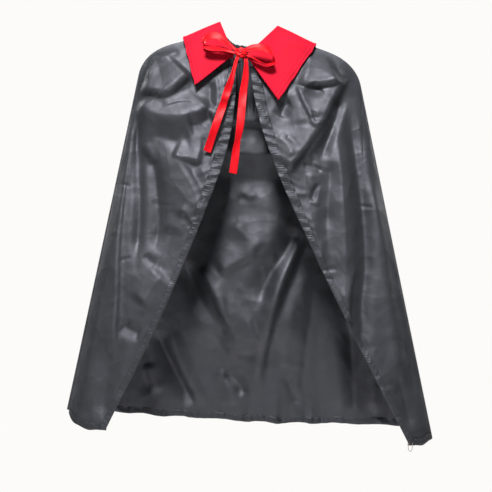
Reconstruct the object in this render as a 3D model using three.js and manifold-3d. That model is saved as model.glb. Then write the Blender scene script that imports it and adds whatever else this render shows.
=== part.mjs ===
// A child's costume cape, hanging from its neck: black nylon cloth, a red pointed collar and a ribbon bow.
// Millimetres, +Z up, the front faces -Y, and the origin is the middle of the neck opening.
import * as THREE from "three";
import { mergeVertices } from "three/addons/utils/BufferGeometryUtils.js";
import Module from "manifold-3d";

const wasm = await Module();
wasm.setup();

// Overall sizes
const HEM_Z = -650; // the lowest edge of the cape under the neck
const HEM_HALF_WIDTH = 314; // from the middle to the side fold at the hem
const SHOULDER_HALF_WIDTH = 192; // from the middle to the shoulder's tip
const SHOULDER_TIP_Z = -63; // where the rounded shoulder meets the straight side fold
const SKEW = Math.tan(THREE.MathUtils.degToRad(2.8)); // the right shoulder hangs lower than the left

// Shoulder ridge, as it lies over what holds the cape up
const RIDGE_HEIGHT = 44; // the ridge carried on to the middle
const RIDGE_SLOPE = 0.304;
const RIDGE_STRAIGHT = 120; // the ridge is straight to here, then rounds down to the tip

// How far the front and back stand off the middle plane
const FRONT_DEPTH = 44;
const BACK_DEPTH = 30;
const DEPTH_PER_DROP = 0.055; // the cape stands further off as it falls
const DEPTH_RISE = 70; // distance from the ridge over which the cloth reaches most of its depth

// Cloth, hems and clearances
const CLOTH = 1.6;
const HEM_THICKNESS = 2.6;
const HEM_WIDTH = 12; // turned and stitched edge
const SEAM_GAP = 0.6; // between pieces that are sewn edge to edge
const EDGE_GAP = 1.2; // between the cloth and the hems of the curved front edges
const NECK_GAP = 3; // between the cloth's gathered top edge and the neck casing
const FOLD_GAP = 2.5; // room at the side fold, about which the lower front swings
const SWING_TOP_Z = -205; // the front below this swings open

// Neck casing and the ribbon drawn through it
const CASING_HEIGHT = 12;
const CASING_THICKNESS = 3.4;
const CHANNEL_HEIGHT = 10.4;
const CHANNEL_THICKNESS = 1.6;
const RIBBON_WIDTH = 12.7;
const RIBBON_THICKNESS = 0.8;
const DRAWN_RIBBON_WIDTH = 9.6; // the ribbon is squeezed where it runs in the channel

// Collar: two layers, sewn round the edge
const COLLAR_LAYER = 1;
const COLLAR_GAP = 0.4; // between the two layers of a wing
const BACK_COLLAR_GAP = 1.4; // between them where the collar curves round the back
const COLLAR_CREASE_GAP = 0.5; // on each side of the crease that the points turn up about
const COLLAR_TOP_Y = -8; // along the ridge
const COLLAR_POINT_Y = { left: -44, right: -50 };
const COLLAR_ON_RIDGE = 3; // the back collar's inner face lies this far under the wings' top edge
const BACK_COLLAR_DROP = -72; // lower edge of the collar at the back

// Bow
const KNOT = new THREE.Vector3(-15, -47, -14);
const KNOT_SIZE = new THREE.Vector3(19, 11, 15);
const LOOP_LENGTH = 46;
const LOOP_HEIGHT = 22;
const LOOP_DEPTH = RIBBON_WIDTH;
const LOOP_BACK_Y = -37.6; // just in front of the collar that the loops lie on
const TAIL_STANDOFF = 7; // in front of the cloth
const TAIL_TOP_Y = -50;
const THREAD_RADIUS = 0.5;

const SIDES = { left: -1, right: 1 };

// Front edges: x and z of the few points that set each one's curve, from the neck to the corner.
const FRONT_EDGE = {
  left: [[-22, -36], [-25, -100], [-36, -170], [-66, -262], [-144, -455], [-237, HEM_Z]],
  right: [[0, -36], [10, -100], [30, -170], [68, -262], [160, -455], [262, HEM_Z]],
};
// Lower edge of the neck casing, from the front end over the side of the neck to the middle of the back.
const NECKLINE = {
  left: [[-23, -26, -31], [-36, -19, -6], [-46, 0, 18], [-30, 13, 1], [0, 18, -9]],
  right: [[2, -26, -31], [25, -21, -6], [46, 0, 18], [30, 13, 1], [0, 18, -9]],
};
// Collar wings: x and z of the knot corner, the neck corner on the ridge, the shoulder corner and the point.
const COLLAR = {
  left: { knot: [-27, -17], neck: [-51, 43], shoulder: [-114, 14], point: [-92, -73] },
  right: { knot: [-6, -17], neck: [48, 41], shoulder: [114, 13], point: [48, -92] },
};
// Ribbon tails: x and z of the middle of each, from the knot to the cut end.
const TAIL = {
  left: [[-23, -27], [-30, -58], [-43, -99], [-57, -141], [-71, -184]],
  right: [[-3, -27], [-6, -50], [-11, -75], [-15, -126], [-21, -168], [-28, -218]],
};

const lerp = THREE.MathUtils.lerp;
const clamp = THREE.MathUtils.clamp;

const material = (color, roughness) => new THREE.MeshStandardMaterial({ color, roughness, metalness: 0 });
const FINISH = {
  nylon: material(0x2b2b30, 0.42),
  hem: material(0x25252a, 0.5),
  casing: material(0x1b1b1f, 0.55),
  collar: material(0xe0122f, 0.8),
  lining: material(0xc00f28, 0.85),
  ribbon: material(0xe8131f, 0.35),
  thread: material(0x77706a, 0.8),
};

// ---- helpers -------------------------------------------------------------------------------------

// A closed block of cloth: a box with nu x nv x nw steps whose corners of 0..1 are placed by `place`.
function block(nu, nv, nw, place) {
  const box = new THREE.BoxGeometry(1, 1, 1, nu, nv, nw);
  box.deleteAttribute("normal");
  box.deleteAttribute("uv");
  const geometry = mergeVertices(box, 1e-4);
  const position = geometry.attributes.position;
  for (let i = 0; i < position.count; i += 1) {
    const [x, y, z] = place(position.getX(i) + 0.5, position.getY(i) + 0.5, position.getZ(i) + 0.5);
    position.setXYZ(i, x, y, z);
  }
  if (volume(geometry) < 0) {
    turnInsideOut(geometry);
  }
  return geometry;
}

// A closed sheet that stands `low` to `high` off a curved surface, square to it.
function sheetOff(nu, nv, surface, low, high) {
  const at = (u, v) => new THREE.Vector3(...surface(clamp(u, 0, 1), clamp(v, 0, 1)));
  return block(nu, nv, 1, (u, v, w) => {
    const alongU = at(u + 1 / nu, v).sub(at(u - 1 / nu, v));
    const alongV = at(u, v + 1 / nv).sub(at(u, v - 1 / nv));
    const normal = alongV.cross(alongU).normalize();
    return at(u, v).addScaledVector(normal, lerp(low, high, w)).toArray();
  });
}

function volume(geometry) {
  const position = geometry.attributes.position;
  const index = geometry.index;
  const [a, b, c] = [new THREE.Vector3(), new THREE.Vector3(), new THREE.Vector3()];
  let total = 0;
  for (let i = 0; i < index.count; i += 3) {
    a.fromBufferAttribute(position, index.getX(i));
    b.fromBufferAttribute(position, index.getX(i + 1));
    c.fromBufferAttribute(position, index.getX(i + 2));
    total += a.dot(b.cross(c)) / 6;
  }
  return total;
}

function turnInsideOut(geometry) {
  const index = geometry.index;
  for (let i = 0; i < index.count; i += 3) {
    const second = index.getX(i + 1);
    index.setX(i + 1, index.getX(i + 2));
    index.setX(i + 2, second);
  }
}

function toSolid(geometry) {
  return new wasm.Manifold(new wasm.Mesh({
    numProp: 3,
    vertProperties: new Float32Array(geometry.attributes.position.array),
    triVerts: new Uint32Array(geometry.index.array),
  }));
}

function fromSolid(solid) {
  const mesh = solid.getMesh();
  const geometry = new THREE.BufferGeometry();
  geometry.setAttribute("position", new THREE.BufferAttribute(new Float32Array(mesh.vertProperties), 3));
  geometry.setIndex(new THREE.BufferAttribute(new Uint32Array(mesh.triVerts), 1));
  return geometry;
}

// The height of the shoulder ridge at x.
function ridge(x) {
  const out = Math.abs(x);
  const past = clamp((out - RIDGE_STRAIGHT) / (SHOULDER_HALF_WIDTH - RIDGE_STRAIGHT), 0, 1);
  const tipDrop = RIDGE_HEIGHT - RIDGE_SLOPE * SHOULDER_HALF_WIDTH - SHOULDER_TIP_Z;
  return RIDGE_HEIGHT - RIDGE_SLOPE * out - tipDrop * (1 - Math.sqrt(1 - past ** 3));
}

// The half width between the straight side folds at height z.
function sideX(z) {
  const down = (SHOULDER_TIP_Z - z) / (SHOULDER_TIP_Z - HEM_Z);
  return lerp(SHOULDER_HALF_WIDTH, HEM_HALF_WIDTH, down);
}

// How far the cloth stands off the middle plane at x and z, on a side whose depth at the neck is `deep`.
function depthAt(x, z, deep) {
  const under = Math.max(ridge(Math.min(Math.abs(x), SHOULDER_HALF_WIDTH)) - z, 0);
  const inside = Math.max(sideX(Math.min(z, SHOULDER_TIP_Z)) - Math.abs(x), 0);
  const rise = (distance) => 1 - Math.exp(-distance / DEPTH_RISE);
  const grown = deep + DEPTH_PER_DROP * Math.max(-z, 0);
  return grown * rise(under) * Math.sqrt(rise(inside));
}

// A smooth curve through points of x and z, read by its height.
function curveByHeight(points) {
  const knots = points.map(([x, z]) => new THREE.Vector3(x, 0, z));
  const curve = new THREE.CatmullRomCurve3(knots, false, "centripetal");
  const samples = curve.getPoints(200);
  return (z) => {
    if (z >= samples[0].z) {
      return samples[0].x;
    }
    const i = samples.findIndex((p) => p.z <= z);
    if (i < 0) {
      return samples[samples.length - 1].x;
    }
    const [a, b] = [samples[i - 1], samples[i]];
    return lerp(a.x, b.x, (a.z - z) / (a.z - b.z));
  };
}

const necklineCurve = (side) => new THREE.CatmullRomCurve3(
  NECKLINE[side].map((p) => new THREE.Vector3(...p)), false, "centripetal");

// ---- the cloth body ------------------------------------------------------------------------------

// The top edge of the cloth from the middle of the back to the shoulder's tip, by its x.
const NECK_SIDE_X = 47;
const backNeckCurve = necklineCurve("right").getPoints(200).filter((p) => p.y >= -0.01);

function backTop(x) {
  const out = Math.abs(x);
  if (out >= NECK_SIDE_X + 5) {
    return ridge(out);
  }
  const neckEnd = backNeckCurve[0];
  if (out > neckEnd.x) {
    const across = (out - neckEnd.x) / (NECK_SIDE_X + 5 - neckEnd.x);
    return lerp(neckEnd.z - NECK_GAP, ridge(NECK_SIDE_X + 5), across);
  }
  let nearest = neckEnd;
  for (const p of backNeckCurve) {
    if (Math.abs(p.x - out) < Math.abs(nearest.x - out)) {
      nearest = p;
    }
  }
  return nearest.z - NECK_GAP;
}

function backSheet(zLow, zHigh, thickness, steps) {
  return block(30, steps, 1, (u, v, w) => {
    const across = Math.sin((u - 0.5) * Math.PI); // closer steps near the side folds
    const topX = across * (SHOULDER_HALF_WIDTH - FOLD_GAP);
    const top = backTop(topX);
    const hem = HEM_Z;
    const z = lerp(Math.min(zLow, top - 1), zHigh === null ? top : zHigh, v);
    const down = (top - z) / (top - hem);
    const x = lerp(topX, across * (HEM_HALF_WIDTH - FOLD_GAP), down);
    return [x, depthAt(x, z, BACK_DEPTH) + FOLD_GAP / 2 + w * thickness, z];
  });
}

// The front of one side in columns: c = 0 is the front edge and c = 1 the side fold.
function frontPanel(side) {
  const sign = SIDES[side];
  const edge = curveByHeight(FRONT_EDGE[side]);
  const frontEnd = new THREE.Vector3(...NECKLINE[side][0]);
  const neckSteps = necklineCurve(side).getPoints(200).filter((p) => p.y <= 0.01);
  const neckShare = 0.3; // share of the columns that start on the neckline
  const inset = HEM_WIDTH + EDGE_GAP;

  function topPoint(c) {
    if (c < neckShare) {
      const x = lerp(sign * frontEnd.x + inset, NECK_SIDE_X + 3, c / neckShare);
      const gap = (step) => Math.abs(sign * step.x - x);
      const nearest = neckSteps.reduce((a, b) => (gap(b) < gap(a) ? b : a));
      return [sign * x, nearest.z - NECK_GAP - SEAM_GAP];
    }
    const out = (c - neckShare) / (1 - neckShare);
    const start = NECK_SIDE_X + 3;
    const x = lerp(start, SHOULDER_HALF_WIDTH - FOLD_GAP, Math.sin(out * Math.PI / 2));
    const rise = clamp((x - start) / 8, 0, 1);
    return [sign * x, lerp(neckSteps[neckSteps.length - 1].z - NECK_GAP, ridge(x), rise) - SEAM_GAP];
  }

  function place(c, z) {
    const [topX, topZ] = topPoint(c);
    const down = (topZ - z) / (topZ - HEM_Z);
    const hemX = lerp(edge(HEM_Z) + sign * inset, sign * (HEM_HALF_WIDTH - FOLD_GAP), c);
    const straight = lerp(topPoint(0)[0], edge(HEM_Z) + sign * inset, down);
    const bow = edge(z) + sign * inset - straight;
    return lerp(topX, hemX, down) + (1 - c) * bow;
  }

  const sheet = (zLow, zHigh, steps, columns) => block(columns, steps, 1, (u, v, w) => {
    const c = Math.sin(u * Math.PI / 2);
    const [, topZ] = topPoint(c);
    const z = lerp(zLow, zHigh === null ? topZ : zHigh, v);
    const x = place(c, z);
    return [x, -depthAt(x, z, FRONT_DEPTH) - FOLD_GAP / 2 - w * CLOTH, z];
  });

  // The turned hem down the front edge.
  const edgeHem = (zLow, zHigh, steps) => block(1, steps, 1, (u, v, w) => {
    const z = lerp(zLow, zHigh, v);
    const x = edge(z) + sign * u * HEM_WIDTH;
    return [x, -depthAt(x, z, FRONT_DEPTH) - FOLD_GAP / 2 - w * HEM_THICKNESS, z];
  });

  // The turned hem along the bottom of this front.
  const bottomHem = () => block(6, 1, 1, (u, v, w) => {
    const z = HEM_Z + v * HEM_WIDTH;
    const x = lerp(edge(HEM_Z) + sign * inset, sign * (HEM_HALF_WIDTH - FOLD_GAP), u);
    return [x, -depthAt(x, z, FRONT_DEPTH) - FOLD_GAP / 2 - w * HEM_THICKNESS, z];
  });

  return { sheet, edgeHem, bottomHem, edge, sign };
}

// ---- the neck ------------------------------------------------------------------------------------

// A band along the neckline, `low` to `high` above the cloth's edge and `thin` to `thick` across.
function neckBand(low, high, thin, thick, overrun) {
  const left = necklineCurve("left").getPoints(26);
  const right = necklineCurve("right").getPoints(26).reverse();
  const path = new THREE.CatmullRomCurve3([...left, ...right.slice(1)], false, "centripetal");
  const steps = 56;
  const frames = [];
  for (let i = 0; i <= steps; i += 1) {
    const t = i / steps;
    const point = path.getPointAt(t);
    const along = path.getTangentAt(t);
    const towardsFront = clamp(-point.y / 24, 0, 1);
    const lean = new THREE.Vector3(-Math.sign(point.x + 10) * 0.9 * towardsFront, 0, 1);
    const up = lean.addScaledVector(along, -lean.dot(along)).normalize();
    const out = new THREE.Vector3().crossVectors(along, up).normalize();
    frames.push({ point, along, up, out });
  }
  frames[0].point.addScaledVector(frames[0].along, -overrun);
  frames[steps].point.addScaledVector(frames[steps].along, overrun);
  return block(steps, 1, 1, (u, v, w) => {
    const frame = frames[Math.round(u * steps)];
    const p = frame.point.clone();
    p.addScaledVector(frame.up, lerp(low, high, v));
    p.addScaledVector(frame.out, lerp(thin, thick, w));
    return [p.x, p.y, p.z];
  });
}

function neckCasing() {
  const half = CASING_THICKNESS / 2;
  const channel = CHANNEL_THICKNESS / 2;
  const wall = (CASING_HEIGHT - CHANNEL_HEIGHT) / 2;
  const outside = toSolid(neckBand(0, CASING_HEIGHT, -half, half, 0));
  const inside = toSolid(neckBand(wall, CASING_HEIGHT - wall, -channel, channel, 2));
  return fromSolid(outside.subtract(inside));
}

function drawnRibbon() {
  const low = (CASING_HEIGHT - DRAWN_RIBBON_WIDTH) / 2;
  return neckBand(low, low + DRAWN_RIBBON_WIDTH, -RIBBON_THICKNESS / 2, RIBBON_THICKNESS / 2, 0);
}

// ---- the collar ----------------------------------------------------------------------------------

// One flat wing: `nearer` is how far the layer lies in front of the wing's plane.
function collarWing(side, nearer) {
  const { knot, neck, shoulder, point } = COLLAR[side];
  const wingY = wingPlane(side);
  return toSolid(block(4, 4, 1, (u, v, w) => {
    const top = [lerp(neck[0], shoulder[0], u), lerp(neck[1], shoulder[1], u)];
    const low = [lerp(knot[0], point[0], u), lerp(knot[1], point[1], u)];
    const [x, z] = [lerp(top[0], low[0], v), lerp(top[1], low[1], v)];
    return [x, wingY(x, z) - nearer - w * COLLAR_LAYER, z];
  }));
}

// The y of the flat plane that a wing lies in, through its ridge and its point.
function wingPlane(side) {
  const { neck, shoulder, point } = COLLAR[side];
  const plane = new THREE.Plane().setFromCoplanarPoints(
    new THREE.Vector3(neck[0], COLLAR_TOP_Y, neck[1]),
    new THREE.Vector3(shoulder[0], COLLAR_TOP_Y, shoulder[1]),
    new THREE.Vector3(point[0], COLLAR_POINT_Y[side], point[1]),
  );
  return (x, z) => -(plane.constant + plane.normal.x * x + plane.normal.z * z) / plane.normal.y;
}

// The crease from the front edge near the knot to the outer edge near the shoulder, as x and z.
const CREASE_FROM_KNOT = 0.32;
const CREASE_FROM_SHOULDER = 0.3;

function crease(side) {
  const { knot, shoulder, point } = COLLAR[side];
  const inner = [lerp(knot[0], point[0], CREASE_FROM_KNOT), lerp(knot[1], point[1], CREASE_FROM_KNOT)];
  const down = CREASE_FROM_SHOULDER;
  const outer = [lerp(shoulder[0], point[0], down), lerp(shoulder[1], point[1], down)];
  return { inner, outer };
}

// A block that covers everything above (or below) the crease, to cut a wing with.
function creaseCutter(side, above) {
  const { inner, outer } = crease(side);
  const along = new THREE.Vector3(outer[0] - inner[0], 0, outer[1] - inner[1]).normalize();
  const up = new THREE.Vector3(-along.z, 0, along.x);
  if (up.z < 0) {
    up.negate();
  }
  const reach = 400;
  const box = new THREE.BoxGeometry(reach, reach, reach);
  box.deleteAttribute("normal");
  box.deleteAttribute("uv");
  const direction = above ? 1 : -1;
  const centre = new THREE.Vector3((inner[0] + outer[0]) / 2, 0, (inner[1] + outer[1]) / 2);
  centre.addScaledVector(up, direction * (reach / 2 + COLLAR_CREASE_GAP));
  box.rotateY(-Math.atan2(along.z, along.x));
  box.translate(centre.x, centre.y, centre.z);
  return toSolid(mergeVertices(box, 1e-4));
}

const wingAboveCrease = (side, nearer) => fromSolid(
  collarWing(side, nearer).intersect(creaseCutter(side, true)));
const wingBelowCrease = (side, nearer) => fromSolid(
  collarWing(side, nearer).intersect(creaseCutter(side, false)));

// The collar's back: it falls behind the cape, from one ridge round the back of the neck to the other.
function backCollar(further) {
  const outer = COLLAR.right.shoulder[0] - 1;
  const surface = (u, v) => {
    const x = lerp(-outer, outer, u);
    const out = Math.abs(x);
    const wing = x < 0 ? COLLAR.left : COLLAR.right;
    const [neckX, shoulderX] = [Math.abs(wing.neck[0]), Math.abs(wing.shoulder[0])];
    const beside = THREE.MathUtils.smoothstep(out, 18, neckX + 12);
    const across = clamp((out - neckX) / (shoulderX - neckX), 0, 1);
    const ridgeZ = lerp(wing.neck[1], wing.shoulder[1], across) - COLLAR_ON_RIDGE;
    const neckZ = backTop(0) + CASING_HEIGHT * 0.6;
    const z = lerp(BACK_COLLAR_DROP, lerp(neckZ, ridgeZ, beside), v);
    const clothY = depthAt(x, z, BACK_DEPTH) + FOLD_GAP / 2 + CLOTH + 1;
    return [x, Math.max(clothY, lerp(24, 5, beside)), z];
  };
  return sheetOff(30, 6, surface, further, further + COLLAR_LAYER);
}

// ---- the bow -------------------------------------------------------------------------------------

function knotShape() {
  const ball = new THREE.SphereGeometry(0.5, 18, 12);
  ball.scale(KNOT_SIZE.x, KNOT_SIZE.y, KNOT_SIZE.z);
  ball.translate(KNOT.x, KNOT.y, KNOT.z);
  return ball;
}

// A loop of ribbon: a drop-shaped band that opens towards the front.
function bowLoop(sign, droop, length) {
  const outline = (grow) => {
    const shape = new THREE.Shape();
    const half = LOOP_HEIGHT / 2 + grow;
    const end = length + grow;
    shape.moveTo(2 - grow, 0);
    shape.bezierCurveTo(length * 0.4, half * 1.5, end, half * 1.3, end, 0);
    shape.bezierCurveTo(end, -half * 1.3, length * 0.4, -half * 1.5, 2 - grow, 0);
    return shape;
  };
  const ring = outline(0);
  ring.holes.push(new THREE.Path(outline(-RIBBON_THICKNESS).getPoints(16).reverse()));
  const loop = new THREE.ExtrudeGeometry(ring, { depth: LOOP_DEPTH, bevelEnabled: false, curveSegments: 16 });
  loop.rotateX(Math.PI / 2);
  if (sign < 0) {
    loop.rotateZ(Math.PI);
  }
  loop.rotateY(-sign * droop);
  const start = KNOT.clone();
  start.x += sign * (KNOT_SIZE.x / 2 + 0.8);
  start.y = sign < 0 ? LOOP_BACK_Y - LOOP_DEPTH : LOOP_BACK_Y;
  loop.translate(start.x, start.y, start.z);
  return loop;
}

// A ribbon tail, lying in front of the cloth.
function ribbonTail(side) {
  const xAt = curveByHeight(TAIL[side]);
  const [top, bottom] = [TAIL[side][0][1], TAIL[side][TAIL[side].length - 1][1]];
  const narrowing = (z) => clamp(0.45 + (top - z) / 60, 0.45, 1);
  return block(2, 16, 1, (u, v, w) => {
    const z = lerp(bottom, top, v);
    const centre = xAt(z);
    const slope = (xAt(z - 4) - xAt(z + 4)) / 8;
    const level = 1 / Math.hypot(1, slope);
    const half = (u - 0.5) * RIBBON_WIDTH * narrowing(z);
    const y = Math.min(-depthAt(centre, z, FRONT_DEPTH) - TAIL_STANDOFF, TAIL_TOP_Y);
    return [centre + half * level, y - w * RIBBON_THICKNESS, z + half * slope * level];
  });
}

// The short end of ribbon between the casing's end and the knot.
function tieEnd(side) {
  const sign = SIDES[side];
  const x = KNOT.x + sign * 4.5;
  const back = -30.5;
  const front = KNOT.y + KNOT_SIZE.y / 2 + 1;
  return block(1, 6, 1, (u, v, w) => {
    const y = lerp(back, front, v);
    const z = lerp(-24, KNOT.z, Math.sin(v * Math.PI / 2));
    return [x + (w - 0.5) * RIBBON_THICKNESS * 2, y, z + (u - 0.5) * RIBBON_WIDTH * 0.55];
  });
}

// A loose loop of sewing thread at the right-hand corner of the hem.
function threadLoop(edgeX) {
  const y = -depthAt(edgeX, HEM_Z, FRONT_DEPTH) - FOLD_GAP / 2 - HEM_THICKNESS / 2;
  const drop = 14;
  const half = 3.4;
  const start = HEM_Z - THREAD_RADIUS - 0.3;
  const route = [
    [half, 0], [half * 1.02, -drop * 0.35], [half * 0.8, -drop * 0.75], [0, -drop],
    [-half * 0.8, -drop * 0.8], [-half, -drop * 0.4], [-half * 0.55, 0],
  ].map(([dx, dz]) => new THREE.Vector3(edgeX + 4 + dx, y, start + dz));
  const section = new THREE.Shape().absarc(0, 0, THREAD_RADIUS, 0, Math.PI * 2);
  return new THREE.ExtrudeGeometry(section, {
    steps: 18, curveSegments: 4, bevelEnabled: false, extrudePath: new THREE.CatmullRomCurve3(route),
  });
}

// ---- assembly ------------------------------------------------------------------------------------

const cape = new THREE.Group();
const skew = new THREE.Matrix4().set(1, 0, 0, 0, 0, 1, 0, 0, -SKEW, 0, 1, 0, 0, 0, 0, 1);

function add(name, geometry, finish) {
  geometry.applyMatrix4(skew);
  geometry.computeVertexNormals();
  const mesh = new THREE.Mesh(geometry, finish);
  mesh.name = name;
  cape.add(mesh);
}

const clothFoot = HEM_Z + HEM_WIDTH + SEAM_GAP;
add("back_cloth", backSheet(clothFoot, null, CLOTH, 16), FINISH.nylon);
add("back_hem", backSheet(HEM_Z, HEM_Z + HEM_WIDTH, HEM_THICKNESS, 1), FINISH.hem);

for (const side of Object.keys(SIDES)) {
  const front = frontPanel(side);
  const hemTop = FRONT_EDGE[side][0][1];
  add(`${side}_shoulder_cloth`, front.sheet(SWING_TOP_Z + SEAM_GAP / 2, null, 9, 20), FINISH.nylon);
  add(`${side}_front_cloth`, front.sheet(clothFoot, SWING_TOP_Z - SEAM_GAP / 2, 12, 12), FINISH.nylon);
  add(`${side}_upper_edge_hem`, front.edgeHem(SWING_TOP_Z + SEAM_GAP / 2, hemTop, 9), FINISH.hem);
  add(`${side}_lower_edge_hem`, front.edgeHem(HEM_Z, SWING_TOP_Z - SEAM_GAP / 2, 12), FINISH.hem);
  add(`${side}_bottom_hem`, front.bottomHem(), FINISH.hem);
}

add("neck_casing", neckCasing(), FINISH.casing);
add("drawn_ribbon", drawnRibbon(), FINISH.ribbon);

const topLayer = COLLAR_LAYER + COLLAR_GAP;
for (const side of Object.keys(SIDES)) {
  add(`${side}_collar_lining`, wingAboveCrease(side, 0), FINISH.lining);
  add(`${side}_collar_top`, wingAboveCrease(side, topLayer), FINISH.collar);
  add(`${side}_collar_point_lining`, wingBelowCrease(side, 0), FINISH.lining);
  add(`${side}_collar_point_top`, wingBelowCrease(side, topLayer), FINISH.collar);
}
add("back_collar_lining", backCollar(0), FINISH.lining);
add("back_collar_top", backCollar(COLLAR_LAYER + BACK_COLLAR_GAP), FINISH.collar);

add("bow_knot", knotShape(), FINISH.ribbon);
add("left_bow_loop", bowLoop(-1, 0.35, LOOP_LENGTH), FINISH.ribbon);
add("right_bow_loop", bowLoop(1, -0.2, LOOP_LENGTH), FINISH.ribbon);
for (const side of Object.keys(SIDES)) {
  add(`${side}_tie_end`, tieEnd(side), FINISH.ribbon);
  add(`${side}_ribbon_tail`, ribbonTail(side), FINISH.ribbon);
}
add("hem_thread_loop", threadLoop(FRONT_EDGE.right[FRONT_EDGE.right.length - 1][0]), FINISH.thread);

export default cape;
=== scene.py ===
# %% [markdown]
# # A child's costume cape
# The cape hangs from its neck: one panel of thin black nylon taffeta, gathered into a ruched casing, with
# narrow stitched hems, a red collar of doubled cloth and a red satin ribbon tied in a bow. The CAD model
# gives each piece its place. Here each one gets the shape and finish of real cloth.

# %% Load the frame
import math

import bpy
import numpy as np
from mathutils import Matrix, Vector


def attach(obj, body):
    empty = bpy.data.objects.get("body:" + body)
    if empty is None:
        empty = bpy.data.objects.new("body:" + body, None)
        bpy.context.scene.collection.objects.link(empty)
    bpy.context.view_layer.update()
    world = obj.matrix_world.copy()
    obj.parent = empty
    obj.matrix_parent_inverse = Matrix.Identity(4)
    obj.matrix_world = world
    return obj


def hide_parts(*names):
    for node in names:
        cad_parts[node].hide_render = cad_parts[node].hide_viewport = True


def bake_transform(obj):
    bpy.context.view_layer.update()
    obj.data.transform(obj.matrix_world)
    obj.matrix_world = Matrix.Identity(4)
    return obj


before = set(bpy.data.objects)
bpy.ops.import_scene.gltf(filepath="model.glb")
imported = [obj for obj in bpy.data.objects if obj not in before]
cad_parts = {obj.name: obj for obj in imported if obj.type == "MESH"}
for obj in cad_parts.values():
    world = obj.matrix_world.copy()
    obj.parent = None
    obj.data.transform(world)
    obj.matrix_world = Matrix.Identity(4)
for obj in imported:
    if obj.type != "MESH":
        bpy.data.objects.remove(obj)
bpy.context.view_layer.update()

# %% [markdown]
# ## Sizes
# The shapes below are written in millimetres, as a sewing pattern is, with the cape hanging level. The real
# one hangs a little lower on its right shoulder, so `to_frame` tips every point by that slope and turns it to
# metres.

# %% Sizes of the cape, in millimetres
HEM_Z = -650
CLOTH_THICKNESS = 0.4
COLLAR_THICKNESS = 1.8  # two layers with the turned-in seams between them
HEM_HALF_WIDTH = 314
SHOULDER_HALF_WIDTH = 192
SHOULDER_TIP_Z = -63
SKEW = math.tan(math.radians(2.8))
RIDGE_HEIGHT = 44
RIDGE_SLOPE = 0.304
RIDGE_STRAIGHT = 120
FRONT_DEPTH = 44
BACK_DEPTH = 30
DEPTH_PER_DROP = 0.055
DEPTH_RISE = 70
SIGN = {"left": -1, "right": 1}


def to_frame(points):
    """Millimetres, hanging level, to metres in the frame."""
    p = np.asarray(points, float)
    out = p.copy()
    out[..., 2] = p[..., 2] - SKEW * p[..., 0]
    return out / 1000


def lerp(a, b, t):
    return a + (b - a) * t


def smoothstep(low, high, value):
    t = np.clip((value - low) / (high - low), 0, 1)
    return t * t * (3 - 2 * t)


print("hem", 2 * HEM_HALF_WIDTH, "mm wide, shoulders", 2 * SHOULDER_HALF_WIDTH, "mm wide")

# %% [markdown]
# ## Curves
# Given points become smooth lines with a Catmull-Rom curve, which passes through every point.


# %% Smooth curves through points
def catmull_rom(a, b, c, d, t):
    """The point at share t of the way from b to c, with a before them and d after them."""
    bend = (2 * a - 5 * b + 4 * c - d) * t**2
    return 0.5 * (2 * b + (c - a) * t + bend + (3 * b - a - 3 * c + d) * t**3)


def smooth_line(points, samples=400):
    """Points along a smooth curve through the given ones, evenly spaced."""
    p = np.asarray(points, float)
    ends = np.vstack([2 * p[0] - p[1], p, 2 * p[-1] - p[-2]])
    pieces = []
    t = np.linspace(0, 1, 60, endpoint=False)[:, None]
    for i in range(len(p) - 1):
        a, b, c, d = ends[i:i + 4]
        pieces.append(catmull_rom(a, b, c, d, t))
    line = np.vstack(pieces + [p[-1:]])
    length = np.concatenate([[0], np.cumsum(np.linalg.norm(np.diff(line, axis=0), axis=1))])
    at = np.linspace(0, length[-1], samples)
    return np.stack([np.interp(at, length, line[:, k]) for k in range(line.shape[1])], axis=1)


def along(line, t):
    """The points at shares t, 0 to 1, of a line."""
    s = np.linspace(0, 1, len(line))
    return np.stack([np.interp(t, s, line[:, k]) for k in range(line.shape[1])], axis=-1)


def by_height(points):
    """A function that gives x at a height, for a line that only falls."""
    line = smooth_line(points)
    return lambda z: np.interp(-np.asarray(z), -line[:, 1], line[:, 0])


FRONT_EDGE = {
    "left": by_height([(-22, -36), (-25, -100), (-36, -170), (-66, -262), (-144, -455), (-237, HEM_Z)]),
    "right": by_height([(0, -36), (10, -100), (30, -170), (68, -262), (160, -455), (262, HEM_Z)]),
}
NECKLINE = {
    "left": smooth_line([(-23, -26, -31), (-35, -19, -10), (-43, 0, 9), (-30, 13, 0), (0, 18, -4)]),
    "right": smooth_line([(2, -26, -31), (24, -21, -10), (43, 0, 9), (30, 13, 0), (0, 18, -4)]),
}


# %% [markdown]
# ## The hanging form
# Two sheets meet along the shoulder ridge and the straight side folds. Away from those lines the cloth stands
# off the middle plane, and more so as it falls.


# %% Shoulder ridge, side fold and depth
SIDE_CREASE = 1.0  # the side fold is pressed flat this far in, so front and back meet there


def ridge(x):
    out = np.abs(x)
    past = np.clip((out - RIDGE_STRAIGHT) / (SHOULDER_HALF_WIDTH - RIDGE_STRAIGHT), 0, 1)
    tip_drop = RIDGE_HEIGHT - RIDGE_SLOPE * SHOULDER_HALF_WIDTH - SHOULDER_TIP_Z
    return RIDGE_HEIGHT - RIDGE_SLOPE * out - tip_drop * (1 - np.sqrt(1 - past**3))


def side_x(z):
    return lerp(SHOULDER_HALF_WIDTH, HEM_HALF_WIDTH, (SHOULDER_TIP_Z - z) / (SHOULDER_TIP_Z - HEM_Z))


def depth(x, z, deep):
    under = np.maximum(ridge(np.minimum(np.abs(x), SHOULDER_HALF_WIDTH)) - z, 0)
    inside = np.maximum(side_x(np.minimum(z, SHOULDER_TIP_Z)) - SIDE_CREASE - np.abs(x), 0)
    grown = deep + DEPTH_PER_DROP * np.maximum(-z, 0)
    rise = 1 - np.exp(-under / DEPTH_RISE)
    return grown * rise * np.sqrt(1 - np.exp(-inside / DEPTH_RISE)), under, inside


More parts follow.
